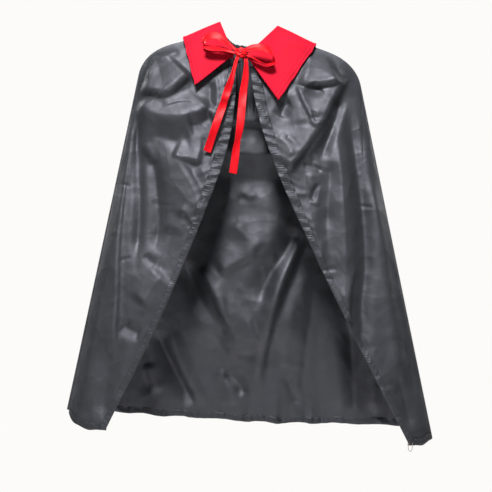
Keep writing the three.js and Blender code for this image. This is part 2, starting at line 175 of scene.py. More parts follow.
# %% [markdown]
# ## Folds
# A fold is drawn as a stroke along its crest: its points, its height towards the viewer, and how far it
# spreads to the left and to the right of the way the line runs. A negative height is a valley. Thin nylon
# bends in flat facets with crisp crests, so the flanks are nearly straight, and one is often much steeper
# than the other. Strokes add up, and each one fades at its ends.


# %% Folds as strokes
CREST = 1.3  # half width of the rounding along a crest
FLANK = 2.1  # a flat flank reaches this many times the spread


def stroke(x, z, points, height, left, right, power=1.0, fade=0.2):
    """The height that one fold adds at each x, z. A power of 1 gives flat flanks, and 2 a soft swell."""
    line = smooth_line(points, 70)
    shape = np.shape(x)
    px, pz = np.ravel(x), np.ravel(z)
    reach = 3.6 * max(left, right)
    near = (
        (px > line[:, 0].min() - reach) & (px < line[:, 0].max() + reach)
        & (pz > line[:, 1].min() - reach) & (pz < line[:, 1].max() + reach)
    )
    out = np.zeros(len(px))
    if not near.any():
        return out.reshape(shape)
    dx = px[near, None] - line[None, :, 0]
    dz = pz[near, None] - line[None, :, 1]
    away = dx**2 + dz**2
    nearest = away.argmin(axis=1)
    row = np.arange(len(nearest))
    t = nearest / (len(line) - 1)
    run = np.gradient(line, axis=0)[nearest]
    step = np.linalg.norm(run, axis=1)
    run /= step[:, None]
    side = run[:, 0] * dz[row, nearest] - run[:, 1] * dx[row, nearest]
    ahead = run[:, 0] * dx[row, nearest] + run[:, 1] * dz[row, nearest]
    t = np.clip(t + ahead / step / (len(line) - 1), 0, 1)
    past = np.maximum(np.abs(ahead) - 0.75 * step, 0)
    far = np.sqrt(side**2 + past**2)
    share = 0.5 + 0.5 * np.clip(side / np.maximum(0.35 * (left + right), 1e-6), -1, 1)
    spread = lerp(right, left, share)
    ends = smoothstep(0, fade, t) * smoothstep(0, fade, 1 - t) * 0.85 + 0.15
    q = np.sqrt(far**2 + CREST**2) / (FLANK * spread)
    tent = 0.5 * (1 - q + np.sqrt((1 - q) ** 2 + 0.03))
    faded = np.exp(-((far / spread) ** 2))
    out[near] = height * lerp(tent * smoothstep(1.7, 1.0, q), faded, np.clip(power - 1, 0, 1)) * ends
    return out.reshape(shape)


FOLD_HEIGHT = 1.2  # every stroke is raised by this factor


def folds(x, z, strokes):
    return FOLD_HEIGHT * sum(stroke(x, z, *s) for s in strokes)


def crinkle(x, z, seed, size, height):
    """Small irregular creases, as nylon keeps from its packing: bent waves with seeded directions."""
    rng = np.random.default_rng(seed)
    total = np.zeros(np.shape(x))
    for octave in range(4):
        scale = size / 1.9**octave
        for _ in range(4):
            angle = rng.uniform(0, math.pi)
            phase = rng.uniform(0, 2 * math.pi, 3)
            bend = np.sin((x * math.sin(angle) - z * math.cos(angle)) * 3.1 / scale + phase[1])
            wave = np.sin((x * math.cos(angle) + z * math.sin(angle)) * 6.28 / scale + phase[0] + 1.6 * bend)
            total += (1 - np.abs(wave)) * 0.5 / 1.9**octave
    return height * (total - total.mean())


def packing_creases(seed, count, x_range, z_range, length=(12, 46), height=0.5):
    """Short sharp creases at seeded places, mostly lying down or slanting."""
    rng = np.random.default_rng(seed)
    made = []
    for _ in range(count):
        x, z = rng.uniform(*x_range), rng.uniform(*z_range)
        run = rng.uniform(*length)
        angle = rng.choice([0.05, -0.6, 0.75, 1.4, -1.3]) + rng.normal(0, 0.25)
        dx, dz = run * math.cos(angle), run * math.sin(angle)
        bow = rng.normal(0, 0.08) * run
        middle = (x + dx / 2 - bow * math.sin(angle), z + dz / 2 + bow * math.cos(angle))
        rise = height * rng.choice([-1, 1]) * rng.uniform(0.5, 1.2)
        made.append(([(x, z), middle, (x + dx, z + dz)], rise, rng.uniform(1.4, 3.4), rng.uniform(1.4, 5.0)))
    return made


LEFT_FOLDS = [
    ([(-180, -24), (-150, -20), (-118, -7)], 6, 15, 7),
    ([(-190, -70), (-164, -78), (-143, -79), (-126, -66), (-104, -44)], 15, 32, 11, 1.5, 0.12),
    ([(-186, -94), (-178, -111), (-160, -121), (-130, -124), (-100, -121), (-78, -113), (-64, -98)],
     13, 22, 22, 1.3, 0.12),
    ([(-147, -110), (-130, -102), (-110, -98), (-90, -99)], 2.4, 7, 1.8),
    ([(-104, -142), (-84, -135), (-60, -122)], -8, 11, 11),
    ([(-166, -158), (-124, -166), (-96, -160)], -5, 14, 15),
    ([(-130, -185), (-106, -193), (-78, -199)], 7, 17, 5),
    ([(-134, -182), (-124, -198), (-104, -229), (-87, -262), (-84, -300)], 7, 7, 24),
    ([(-178, -172), (-162, -212), (-157, -250), (-153, -300), (-160, -362)], -10, 8, 11),
    ([(-180, -170), (-170, -188), (-160, -208)], 4, 5, 4),
    ([(-187, -100), (-190, -160), (-187, -220), (-185, -290), (-190, -380)], -9, 9, 9, 1.6),
    ([(-206, -150), (-216, -240), (-224, -340), (-226, -450), (-232, -560)], 8, 7, 18, 1.3),
    ([(-176, -360), (-167, -371), (-157, -377)], -3, 5, 4),
    ([(-142, -388), (-160, -412), (-182, -446)], 8, 15, 13),
    ([(-212, -476), (-198, -486), (-180, -492)], -5, 6, 8),
    ([(-164, -490), (-188, -550), (-206, -610)], -6, 13, 13, 1.6),
    ([(-118, -278), (-104, -291), (-91, -309)], 5, 6, 6),
    ([(-112, -290), (-102, -302), (-96, -312)], -3, 3, 4),
    ([(-208, -148), (-200, -157), (-204, -168)], 2, 2.5, 2.5),
    ([(-218, -243), (-202, -246)], -2, 2, 2),
    ([(-238, -330), (-222, -333)], -1.4, 2, 2),
    ([(-216, -372), (-198, -366)], -1.4, 2, 2),
    ([(-58, -50), (-54, -86), (-58, -128)], 3.6, 3.5, 5.5),
    ([(-44, -50), (-43, -92), (-48, -142)], 3, 3, 4.5),
    ([(-68, -62), (-66, -96), (-71, -128)], -4, 5, 5),
    ([(-84, -206), (-74, -226), (-66, -250)], 4, 8, 9),
    ([(-78, -160), (-76, -178)], -2, 2.5, 2.5),
    ([(-250, -300), (-262, -450), (-276, -630)], 5, 14, 15, 1.7),
    ([(-222, -500), (-236, -570), (-246, -640)], -5, 12, 14, 1.7),
    ([(-128, -310), (-138, -352), (-152, -394)], -5, 12, 9),
]
RIGHT_FOLDS = [
    ([(80, -49), (104, -54), (128, -51), (156, -43)], 11, 27, 6),
    ([(103, -57), (111, -69), (122, -64)], -5, 6, 7),
    ([(81, -58), (91, -86), (102, -110), (108, -124)], 6, 17, 3),
    ([(164, -38), (148, -64), (132, -94), (117, -124), (98, -153), (78, -182), (56, -210)],
     12, 7, 22, 1.3, 0.1),
    ([(102, -120), (110, -128), (119, -121)], 3.5, 3, 3),
    ([(106, -106), (109, -120)], -4, 2, 2),
    ([(158, -74), (147, -104), (137, -136), (128, -162), (118, -190)], -9, 6, 7),
    ([(146, -90), (131, -126), (110, -162), (92, -188)], 5, 5, 6),
    ([(70, -92), (59, -100), (51, -120)], -6, 7, 7),
    ([(74, -66), (82, -96), (88, -132)], 5, 10, 9),
    ([(166, -84), (172, -130), (181, -200), (190, -280), (193, -360), (186, -440), (190, -540)],
     -10, 11, 11, 1.6, 0.15),
    ([(174, -355), (163, -415), (162, -468), (174, -503), (192, -545)], 6, 4, 16, 1.2),
    ([(136, -186), (133, -240), (128, -306)], -6, 9, 9),
    ([(146, -140), (153, -220), (158, -300), (160, -390)], 8, 13, 14),
    ([(104, -172), (107, -194)], -3, 2.5, 2.5),
    ([(88, -196), (106, -200), (122, -207)], -4, 3, 4),
    ([(114, -226), (108, -240), (103, -260)], -4, 3, 3),
    ([(104, -210), (102, -226), (112, -236)], 3, 6, 5),
    ([(70, -247), (97, -246)], 2, 2.5, 2.5),
    ([(99, -257), (118, -262)], 2, 3, 3),
    ([(178, -260), (208, -262)], -1.6, 2, 2),
    ([(208, -190), (222, -300), (238, -420), (260, -570)], 8, 14, 16, 1.6),
    ([(98, -272), (111, -318), (126, -366)], 5, 8, 9),
    ([(118, -373), (146, -367)], -2.2, 2.5, 2.5),
    ([(124, -384), (140, -386)], -1.6, 2, 2),
    ([(212, -568), (246, -562)], 2.2, 3, 3),
    ([(224, -588), (252, -612)], -2.4, 4, 4),
    ([(246, -540), (258, -580), (268, -632)], -5, 9, 9),
    ([(240, -330), (258, -440), (284, -600)], -6, 13, 14, 1.7),
    ([(150, -396), (170, -440), (200, -500)], 4, 10, 12),
    ([(60, -150), (76, -160)], -2, 3, 3),
    ([(44, -150), (60, -164), (74, -186)], 4, 7, 8),
]
BACK_FOLDS = [
    ([(-120, -436), (0, -450), (120, -436)], 27, 160, 60, 1.8, 0.3),
    ([(-100, -96), (0, -119), (100, -96)], 10, 20, 6, 1.3, 0.4),
    ([(-120, -150), (0, -176), (120, -152)], 10, 20, 13, 1.4, 0.4),
    ([(-90, -214), (0, -222), (90, -214)], -5, 16, 20, 1.6, 0.1),
    ([(-31, -298), (-6, -320), (17, -346)], 6, 13, 12),
    ([(-56, -388), (-20, -364), (17, -347)], 6, 16, 6),
    ([(82, -298), (62, -345), (36, -386), (12, -440)], -12, 9, 15),
    ([(92, -318), (67, -372), (43, -440), (30, -500), (12, -595)], 8, 7, 10),
    ([(106, -326), (78, -385), (54, -448), (41, -498), (20, -585)], -9, 10, 7),
    ([(-118, -366), (-90, -425), (-58, -476), (-32, -514)], -10, 9, 12),
    ([(-88, -376), (-57, -432), (-30, -482)], 9, 13, 6),
    ([(-44, -530), (-14, -507), (20, -491)], 10, 24, 11),
    ([(-48, -564), (-22, -578), (-9, -606)], -6, 8, 7),
    ([(-54, -556), (-40, -586), (-32, -626)], 5, 8, 10),
    ([(-40, -430), (-32, -472)], -2, 2.5, 2.5),
    ([(-170, -486), (-146, -540), (-122, -588), (-94, -626)], -10, 8, 9),
    ([(-140, -484), (-124, -540), (-98, -600), (-82, -630)], 6, 9, 7),
    ([(-180, -552), (-160, -606)], 6, 9, 9),
    ([(-198, -520), (-178, -612)], -6, 9, 9),
    ([(64, -562), (86, -618)], -4, 5, 5),
    ([(112, -420), (97, -540), (92, -606)], -2, 3, 3),
    ([(52, -540), (98, -549)], 2.4, 5, 3),
    ([(178, -460), (186, -560), (190, -636)], -8, 12, 12, 1.6),
    ([(214, -480), (220, -630)], 5, 12, 12, 1.6),
    ([(134, -400), (150, -520), (160, -630)], 5, 16, 18, 1.6),
    ([(-14, -240), (-2, -250), (14, -246)], 2.4, 5, 4),
    ([(-22, -258), (-4, -250)], -2, 4, 4),
]
LEFT_FOLDS += packing_creases(31, 46, (-240, -60), (-640, -110))
RIGHT_FOLDS += packing_creases(32, 60, (40, 260), (-640, -100))
BACK_FOLDS += packing_creases(33, 60, (-230, 230), (-640, -200), (20, 80))
print(len(LEFT_FOLDS) + len(RIGHT_FOLDS) + len(BACK_FOLDS), "folds drawn")


# %% [markdown]
# ## Cloth from a grid
# Each sheet starts as Blender's grid, which brings its own UV map. Its points are then moved in code to where
# the cloth hangs, and Solidify gives it two sides. A real sheet has two sides too, about 0.1 mm apart.


# %% From a grid to cloth
def select_only(obj):
    bpy.ops.object.select_all(action="DESELECT")
    obj.select_set(True)
    bpy.context.view_layer.objects.active = obj


def grid(name, nu, nv, shape):
    """A grid of nu by nv faces whose u, v of 0..1 are placed by shape, in millimetres."""
    bpy.ops.object.select_all(action="DESELECT")
    bpy.ops.mesh.primitive_grid_add(x_subdivisions=nu, y_subdivisions=nv, size=1, location=(0, 0, 0))
    obj = bpy.context.object
    obj.name = name
    obj.data.name = name
    flat = np.zeros(len(obj.data.vertices) * 3)
    obj.data.vertices.foreach_get("co", flat)
    flat = flat.reshape(-1, 3)
    place(obj, shape(flat[:, 0] + 0.5, flat[:, 1] + 0.5))
    return obj


def place(obj, points):
    obj.data.vertices.foreach_set("co", to_frame(points).ravel())
    obj.data.update()


def modify(obj, kind, **settings):
    """Adds a modifier, sets it and applies it."""
    select_only(obj)
    modifier = obj.modifiers.new(kind.title(), kind)
    for key, value in settings.items():
        setattr(modifier, key, value)
    bpy.ops.object.modifier_apply(modifier=modifier.name)


def sew(obj, gap=0.00002):
    """Joins points that meet, turns the faces outwards and smooths them."""
    select_only(obj)
    bpy.ops.object.mode_set(mode="EDIT")
    bpy.ops.mesh.select_all(action="SELECT")
    bpy.ops.mesh.remove_doubles(threshold=gap)
    bpy.ops.mesh.normals_make_consistent(inside=False)
    bpy.ops.object.mode_set(mode="OBJECT")
    bpy.ops.object.shade_smooth()


def two_sided(obj, thickness, offset=1.0, **more):
    bpy.context.view_layer.update()
    modify(obj, "SOLIDIFY", thickness=thickness / 1000, offset=offset, use_even_offset=False, **more)
    select_only(obj)
    bpy.ops.object.shade_smooth()


def finish_piece(obj, material, slot, *nodes):
    for m in material if isinstance(material, (list, tuple)) else [material]:
        obj.data.materials.append(m)
    if nodes:
        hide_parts(*nodes)
    print(obj.name, len(obj.data.vertices), "points")
    return obj


# %% [markdown]
# ## Materials
# Each material is one Principled shader with its colour, its weave and its creases. Threads of 0.1 mm are too
# fine to show, so weaves are drawn many times coarser. The helpers below add nodes and draw rows of stitches.


# %% Colour and node helpers
STITCH_SHARE = 0.72  # how much of each step in a row of stitches is thread


def colour(code, alpha=1.0):
    """An sRGB hex colour, such as "3a3a40", as linear light."""
    parts = [int(code[i:i + 2], 16) / 255 for i in (0, 2, 4)]
    return tuple(c / 12.92 if c <= 0.04045 else ((c + 0.055) / 1.055) ** 2.4 for c in parts) + (alpha,)


def node(tree, kind, settings=None, **links):
    """Adds a node. Settings are its properties or inputs; a link is input_name=(node, output_name)."""
    made = tree.nodes.new(kind)
    for key, value in (settings or {}).items():
        if key in made.inputs:
            made.inputs[key].default_value = value
        else:
            setattr(made, key, value)
    for key, (source, output) in links.items():
        tree.links.new(source.outputs[output], made.inputs[key.replace("_", " ")])
    return made


def material(name):
    made = bpy.data.materials.new(name)
    made.use_nodes = True
    tree = made.node_tree
    return made, tree, tree.nodes["Principled BSDF"]


def ramp(tree, source, output, low, high, start=0.0, end=1.0):
    made = node(tree, "ShaderNodeValToRGB", {}, Fac=(source, output))
    first, last = made.color_ramp.elements
    first.position, first.color = start, low
    last.position, last.color = end, high
    return made


def shade(tree, shader, tone, normal, values):
    """Gives the shader its colour and its bumps by links, and the rest as values."""
    tree.links.new(tone.outputs["Color"], shader.inputs["Base Color"])
    tree.links.new(normal.outputs["Normal"], shader.inputs["Normal"])
    for key, value in values.items():
        shader.inputs[key].default_value = value


def maths(tree, operation, *values):
    """A Math node. Each of its values is a number, or the output that it reads."""
    made = node(tree, "ShaderNodeMath", {"operation": operation})
    for spot, value in zip(made.inputs, values):
        if isinstance(value, (int, float)):
            spot.default_value = value
        else:
            tree.links.new(value, spot)
    return made


def stitches(tree, at_u, wide, count, along_v=True):
    """1 on the stitches of a row that runs along one side of the UV map, and 0 between them."""
    uv = node(tree, "ShaderNodeSeparateXYZ", {}, Vector=(node(tree, "ShaderNodeTexCoord"), "UV"))
    across, run = ("X", "Y") if along_v else ("Y", "X")
    on_row = maths(tree, "COMPARE", uv.outputs[across], at_u, wide)
    steps = maths(tree, "MULTIPLY", uv.outputs[run], count)
    dash = maths(tree, "LESS_THAN", maths(tree, "FRACT", steps.outputs[0]).outputs[0], STITCH_SHARE)
    return maths(tree, "MULTIPLY", on_row.outputs[0], dash.outputs[0])


def stitch_on(made, row, thread):
    """Lays thread of one colour over the material, raised above the cloth."""
    tree = made.node_tree
    shader = tree.nodes["Principled BSDF"]
    cloth = shader.inputs["Base Color"].links[0].from_socket
    mixed = node(tree, "ShaderNodeMix", {"data_type": "RGBA"})
    tree.links.new(row.outputs[0], mixed.inputs[0])
    tree.links.new(cloth, mixed.inputs[6])
    mixed.inputs[7].default_value = colour(thread)
    tree.links.new(mixed.outputs[2], shader.inputs["Base Color"])
    under = shader.inputs["Normal"].links[0].from_socket
    raised = node(tree, "ShaderNodeBump", {"Strength": 0.8, "Distance": 0.0005}, Height=(row, "Value"))
    tree.links.new(under, raised.inputs["Normal"])
    tree.links.new(raised.outputs["Normal"], shader.inputs["Normal"])


# %% [markdown]
# ## Nylon taffeta
# Taffeta is a plain weave of smooth flat yarn, so it is dark but glossy, and every crease catches light. The
# hems are the same cloth with a row of black stitches. The casing is duller, and its colour is darker with
# painted shade, because its gathers shade each other.

# %% Nylon taffeta
WEAVE_PITCH = 0.0022  # metres from rib to rib: the real 0.1 mm threads are too fine to show
RIBS = 0.314  # a wave texture of scale 1 repeats after this many metres
FACETS = ((8.0, 0.006), (27.0, 0.0016))  # cells to the metre and rise in metres, for the flat crumple


def weave(tree, where, pitch, how):
    """Two sets of ribs that cross, as threads do. They are joined by the Math operation how."""
    warp, weft = (node(tree, "ShaderNodeTexWave", {"Scale": RIBS / pitch, "bands_direction": direction},
                       Vector=(where, "Object")) for direction in "XZ")
    return maths(tree, how, warp.outputs["Fac"], weft.outputs["Fac"])


def nylon(name, dark, light, roughness, crease=0.035, shine=0.85):
    made, tree, shader = material(name)
    where = node(tree, "ShaderNodeTexCoord")
    mottle = node(tree, "ShaderNodeTexNoise", {"Scale": 9.0, "Detail": 5.0}, Vector=(where, "Object"))
    tone = ramp(tree, mottle, "Fac", colour(dark), colour(light), 0.3, 0.72)
    woven = weave(tree, where, WEAVE_PITCH, "MULTIPLY")
    fine = node(tree, "ShaderNodeBump", {"Strength": 0.3, "Distance": 0.0002}, Height=(woven, "Value"))
    crush = node(tree, "ShaderNodeTexNoise", {"Scale": 55.0, "Detail": 6.0, "Roughness": 0.55},
                 Vector=(where, "Object"))
    rough = node(tree, "ShaderNodeBump", {"Strength": crease, "Distance": 0.004}, Height=(crush, "Fac"),
                 Normal=(fine, "Normal"))
    sway = node(tree, "ShaderNodeTexNoise", {"Scale": 13.0, "Detail": 2.0}, Vector=(where, "Object"))
    bent = node(tree, "ShaderNodeVectorMath", {"operation": "MULTIPLY_ADD"})
    bent.inputs[1].default_value = (0.06, 0.06, 0.06)
    tree.links.new(sway.outputs["Color"], bent.inputs[0])
    tree.links.new(where.outputs["Object"], bent.inputs[2])
    normal = rough
    for scale, rise in FACETS:
        cells = node(tree, "ShaderNodeTexVoronoi", {"Scale": scale}, Vector=(bent, "Vector"))
        normal = node(tree, "ShaderNodeBump", {"Strength": 1.0, "Distance": rise}, Height=(cells, "Distance"),
                      Normal=(normal, "Normal"))
    gloss = ramp(tree, crush, "Fac", (roughness - 0.06,) * 3 + (1,), (roughness + 0.1,) * 3 + (1,), 0.3, 0.7)
    tree.links.new(gloss.outputs["Color"], shader.inputs["Roughness"])
    shade(tree, shader, tone, normal, {"Specular IOR Level": shine, "Specular Tint": colour("f0f2ff"),
                                       "Sheen Weight": 0.01, "Sheen Roughness": 0.5})
    return made


taffeta = nylon("black_nylon_taffeta", "0e0f12", "16171b", 0.6)
hem_taffeta = nylon("black_nylon_hem", "0e0f12", "16171b", 0.6, crease=0.1, shine=0.7)
stitch_on(hem_taffeta, stitches(hem_taffeta.node_tree, 0.17, 0.012, 213), "303036")
# The casing's colours are darker than the cape's: painted shade of its gathers.
casing_taffeta_painted_shade = nylon("black_nylon_casing_painted_shade", "08080a", "101013", 0.6, crease=0.4, shine=0.3)

# %% [markdown]
# ## Collar cloth, satin and thread
# The collar is brushed poplin, a plain weave with a short nap, so it is matt and its colour stays even. The
# ribbon is polyester satin, whose long floats lie along it and give a silky shine. Sewing thread is twisted,
# and its turns are painted as dark and light bands along its length: painted shade and highlight.

# %% Collar cloth, satin and thread
COTTON_PITCH = 0.0013  # again a few times the real thread


def woven_cotton(name, dark, light, roughness):
    made, tree, shader = material(name)
    where = node(tree, "ShaderNodeTexCoord")
    blotch = node(tree, "ShaderNodeTexNoise", {"Scale": 26.0, "Detail": 4.0}, Vector=(where, "Object"))
    tone = ramp(tree, blotch, "Fac", colour(dark), colour(light), 0.3, 0.7)
    woven = weave(tree, where, COTTON_PITCH, "ADD")
    fine = node(tree, "ShaderNodeBump", {"Strength": 0.25, "Distance": 0.0003}, Height=(woven, "Value"))
    shade(tree, shader, tone, fine, {"Roughness": roughness, "Specular IOR Level": 0.12,
                                     "Sheen Weight": 0.06, "Sheen Tint": colour("ff5a6e")})
    return made


def satin(name, dark, light):
    made, tree, shader = material(name)
    where = node(tree, "ShaderNodeTexCoord")
    stretch = node(tree, "ShaderNodeMapping", {"Scale": (4.0, 260.0, 1.0)}, Vector=(where, "UV"))
    floats = node(tree, "ShaderNodeTexNoise", {"Scale": 3.0, "Detail": 3.0}, Vector=(stretch, "Vector"))
    tone = ramp(tree, floats, "Fac", colour(dark), colour(light), 0.3, 0.7)
    fine = node(tree, "ShaderNodeBump", {"Strength": 0.15, "Distance": 0.0002}, Height=(floats, "Fac"))
    shade(tree, shader, tone, fine, {
        "Roughness": 0.5, "Specular IOR Level": 0.4, "Specular Tint": colour("ffb4b4"),
        "Sheen Weight": 0.1, "Sheen Roughness": 0.3, "Sheen Tint": colour("ff7878"),
    })
    return made


collar_cloth = woven_cotton("red_brushed_poplin", "a80620", "b60a28", 0.75)
collar_under = woven_cotton("red_poplin_under_collar", "a80a20", "b60e28", 0.8)
stitch_on(collar_cloth, stitches(collar_cloth.node_tree, 0.955, 0.005, 46, along_v=False), "7c0418")
ribbon_satin = satin("red_polyester_satin", "b4000e", "cc0418")
loop_thread, _tree, _shader = material("grey_brown_sewing_thread")
# Dark and light bands along the thread: painted shade and highlight of its twisted turns.
_twist_shade_and_highlight = node(_tree, "ShaderNodeTexWave", {"Scale": 900.0, "bands_direction": "DIAGONAL"},
              Vector=(node(_tree, "ShaderNodeTexCoord"), "Object"))
_tree.links.new(ramp(_tree, _twist_shade_and_highlight, "Fac", colour("6f675f"), colour("968d83")).outputs["Color"],
                _shader.inputs["Base Color"])
_shader.inputs["Roughness"].default_value = 0.7

# %% [markdown]
# ## Camera and light
# The camera stands in front at the middle of the cape's height, as the cape is looked at on a wall. A soft
# light from above and in front gives the folds their shape. Weaker ones at the sides and behind show the
# edges, and a dim world fills the shadows.

# %% Camera, light and floor
CAMERA_DISTANCE = 1.7
VIEW_WIDTH = 0.8454  # metres seen across the picture, in the middle plane of the cape
VIEW_CENTRE = (-0.0063, -0.3372)
camera_data = bpy.data.cameras.new("camera")
camera_data.sensor_width = 36
camera_data.lens = camera_data.sensor_width * CAMERA_DISTANCE / VIEW_WIDTH
camera = bpy.data.objects.new("camera", camera_data)
camera.location = (VIEW_CENTRE[0], -CAMERA_DISTANCE, VIEW_CENTRE[1])
camera.rotation_euler = (math.radians(90), 0, 0)
bpy.context.scene.collection.objects.link(camera)
bpy.context.scene.camera = camera
bpy.context.scene.view_settings.view_transform = "Standard"


def area_light(name, where, target, size, power):
    data = bpy.data.lights.new(name, "AREA")
    data.shape = "DISK"
    data.size = size
    data.energy = power
    light = bpy.data.objects.new(name, data)
    light.location = where
    light.rotation_euler = (Vector(target) - Vector(where)).to_track_quat("-Z", "Y").to_euler()
    bpy.context.scene.collection.objects.link(light)


centre = (0, 0, -0.3)
area_light("key", (-0.2, -1.5, 1.5), centre, 0.6, 118)
area_light("front", (0.25, -2.9, -0.15), centre, 1.0, 7)
area_light("left_side", (-2.4, -0.9, 0.3), centre, 1.0, 9)
area_light("right_side", (2.4, -0.9, 0.3), centre, 1.0, 6)
area_light("back_left", (-1.6, 1.8, 1.2), centre, 1.0, 50)
area_light("back_right", (1.7, 1.5, 0.8), centre, 1.2, 20)

# The world looks near white, but it is dim and lights the cape mostly from above: folds stay dark underneath.
world = bpy.data.worlds.new("studio")
world.use_nodes = True
sky = world.node_tree
sky.nodes["Background"].inputs["Color"].default_value = colour("fbfaf8")
up = node(sky, "ShaderNodeSeparateXYZ", {}, Vector=(node(sky, "ShaderNodeTexCoord"), "Generated"))
rising = node(sky, "ShaderNodeMapRange",
              {"From Min": -0.5, "From Max": 0.7, "To Min": 0.01, "To Max": 0.2}, Value=(up, "Z"))
sky.links.new(rising.outputs["Result"], sky.nodes["Background"].inputs["Strength"])
seen = node(sky, "ShaderNodeBackground", {"Color": colour("fcfbf9"), "Strength": 1.0})
ray = node(sky, "ShaderNodeLightPath")
blend_sky = node(sky, "ShaderNodeMixShader")
sky.links.new(ray.outputs["Is Camera Ray"], blend_sky.inputs[0])
sky.links.new(sky.nodes["Background"].outputs[0], blend_sky.inputs[1])
sky.links.new(seen.outputs[0], blend_sky.inputs[2])
sky.links.new(blend_sky.outputs[0], sky.nodes["World Output"].inputs["Surface"])
bpy.context.scene.world = world

FLOOR_Z = -1.15
bpy.ops.object.select_all(action="DESELECT")
bpy.ops.mesh.primitive_circle_add(vertices=96, radius=1.25, fill_type="NGON", location=(0, 0, 0))
floor = bpy.context.object
floor.name = "floor"
floor.data.transform(Matrix.Translation((0, 0, FLOOR_Z)))
floor_finish, _tree, _shader = material("pale_floor_paint")
_shader.inputs["Base Color"].default_value = colour("fbfaf8")
_shader.inputs["Roughness"].default_value = 0.9
floor.data.materials.append(floor_finish)
print("lens", round(camera_data.lens, 1), "mm")

# %% [markdown]
# ## The fronts
# Each front is one half of the same cloth: from the gathered neckline, over the shoulder ridge and down to
# the hem. Its columns run from the front edge to the side fold, and they open out like a fan from the neck.


# %% Front panels
EDGE_BAND = 9  # the cloth's edge lies this far under the turned hem
NECK_SHARE = 0.3
NECK_SIDE_X = 50


def hem_line(side, c):
    """Height of the bottom edge: it waves a little, and turns up at the outer corner."""
    if side == "left":
        return HEM_Z + 18 * np.exp(-(((1 - c) / 0.2) ** 2)) - 5 * (1 - c) + 1.6 * np.sin(c * 11 + 1)
    return HEM_Z - 7 * (1 - c) + 1.6 * np.sin(c * 9 + 1)


def front_top(side, c):
    """x and z of the top of column c of a front."""
    sign = SIGN[side]
    neck = NECKLINE[side][NECKLINE[side][:, 1] <= 0]
    start = sign * neck[0, 0] + EDGE_BAND
    past_neck = np.sin((c - NECK_SHARE) / (1 - NECK_SHARE) * math.pi / 2)
    x = np.where(c < NECK_SHARE, lerp(start, NECK_SIDE_X, c / NECK_SHARE),
                 lerp(NECK_SIDE_X, SHOULDER_HALF_WIDTH, past_neck))
    z_neck = np.interp(x, sign * neck[:, 0], neck[:, 2]) - 1
    on_ridge = smoothstep(NECK_SIDE_X - 8, NECK_SIDE_X + 6, x)
    return sign * x, lerp(z_neck, ridge(x), on_ridge)


def front_xz(side, c, v):
    """x and z at column c, and v from 0 at the hem to 1 at the top."""
    sign = SIGN[side]
    edge = FRONT_EDGE[side]
    top_x, top_z = front_top(side, c)
    z = lerp(hem_line(side, c), top_z, v)
    down = 1 - v
    inset = sign * EDGE_BAND
    hem_x = lerp(edge(HEM_Z) + inset, sign * HEM_HALF_WIDTH, c)
    first_x, first_z = front_top(side, np.zeros_like(c))
    first_down = np.clip((first_z - z) / (first_z - HEM_Z), 0, 1)
    straight = lerp(first_x, edge(HEM_Z) + inset, first_down)
    bow = edge(z) + inset - straight
    return lerp(top_x, hem_x, down) + (1 - c) ** 1.5 * bow * smoothstep(0, 0.06, down), z


def front_y(side, x, z):
    """How far the front stands towards the viewer at x, z, folds and all."""
    off, under, inside = depth(x, z, FRONT_DEPTH)
    drawn = folds(x, z, LEFT_FOLDS if side == "left" else RIGHT_FOLDS)
    held = smoothstep(0, 26, under) * smoothstep(0, 22, inside)
    across = np.abs(x - FRONT_EDGE[side](z))
    near_neck = np.exp(-np.maximum(under - 20, 0) / 34) * smoothstep(120, 40, np.abs(x))
    neck_gather = 2.2 * np.sin(np.abs(x) / 3.1 + 0.02 * z) * near_neck
    puckers = np.sin(z / 2.9 + across / 4.2 + 1.5 * np.sin(z / 12)) + np.sin(z / 5.1 - across / 8 + 2)
    edge_pucker = 0.75 * puckers * np.exp(-np.maximum(across - 12, 0) / 12) * smoothstep(-420, -200, z)
    small = crinkle(x, z, 11 if side == "left" else 12, 120, 0.45)
    return -(off + held * (drawn + small + neck_gather) + edge_pucker)


def front_shape(side):
    def shape(u, v):
        c = np.sin((u if side == "right" else 1 - u) * math.pi / 2)
        x, z = front_xz(side, c, 1 - (1 - v) ** 1.2)
        return np.stack([x, front_y(side, x, z), z], axis=1)

    return shape


for side in SIGN:
    front = grid(f"{side}_front", 150, 300, front_shape(side))
    two_sided(front, CLOTH_THICKNESS, offset=-1)
    finish_piece(front, taffeta, "cape_nylon", f"{side}_shoulder_cloth", f"{side}_front_cloth")
    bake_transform(front)


# %% [markdown]
# ## The back
# The back hangs from the gathered neckline between the two shoulder ridges. Its inside shows through the open
# front.


# %% Back panel
def back_top(x):
    out = np.abs(x)
    neck = NECKLINE["right"][NECKLINE["right"][:, 1] >= 0][::-1]
    z_neck = np.interp(out, neck[:, 0], neck[:, 2]) - 1
    on_ridge = smoothstep(NECK_SIDE_X - 8, NECK_SIDE_X + 6, out)
    return lerp(z_neck, ridge(np.minimum(out, SHOULDER_HALF_WIDTH)), on_ridge)


def free_hem_line(x):
    return HEM_Z + 1 + 9 * (x / 250) ** 2 + 1.3 * np.sin(x / 11) + 0.8 * np.abs(np.sin(x / 17))


def back_hem_line(x):
    """Height of the back's bottom edge. At each side fold it meets the front's."""
    line = free_hem_line(x)
    for side, sign in SIGN.items():
        miss = hem_line(side, np.array(1.0)) - free_hem_line(np.array(sign * HEM_HALF_WIDTH))
        line = line + miss * smoothstep(262, HEM_HALF_WIDTH, sign * x)
    return line


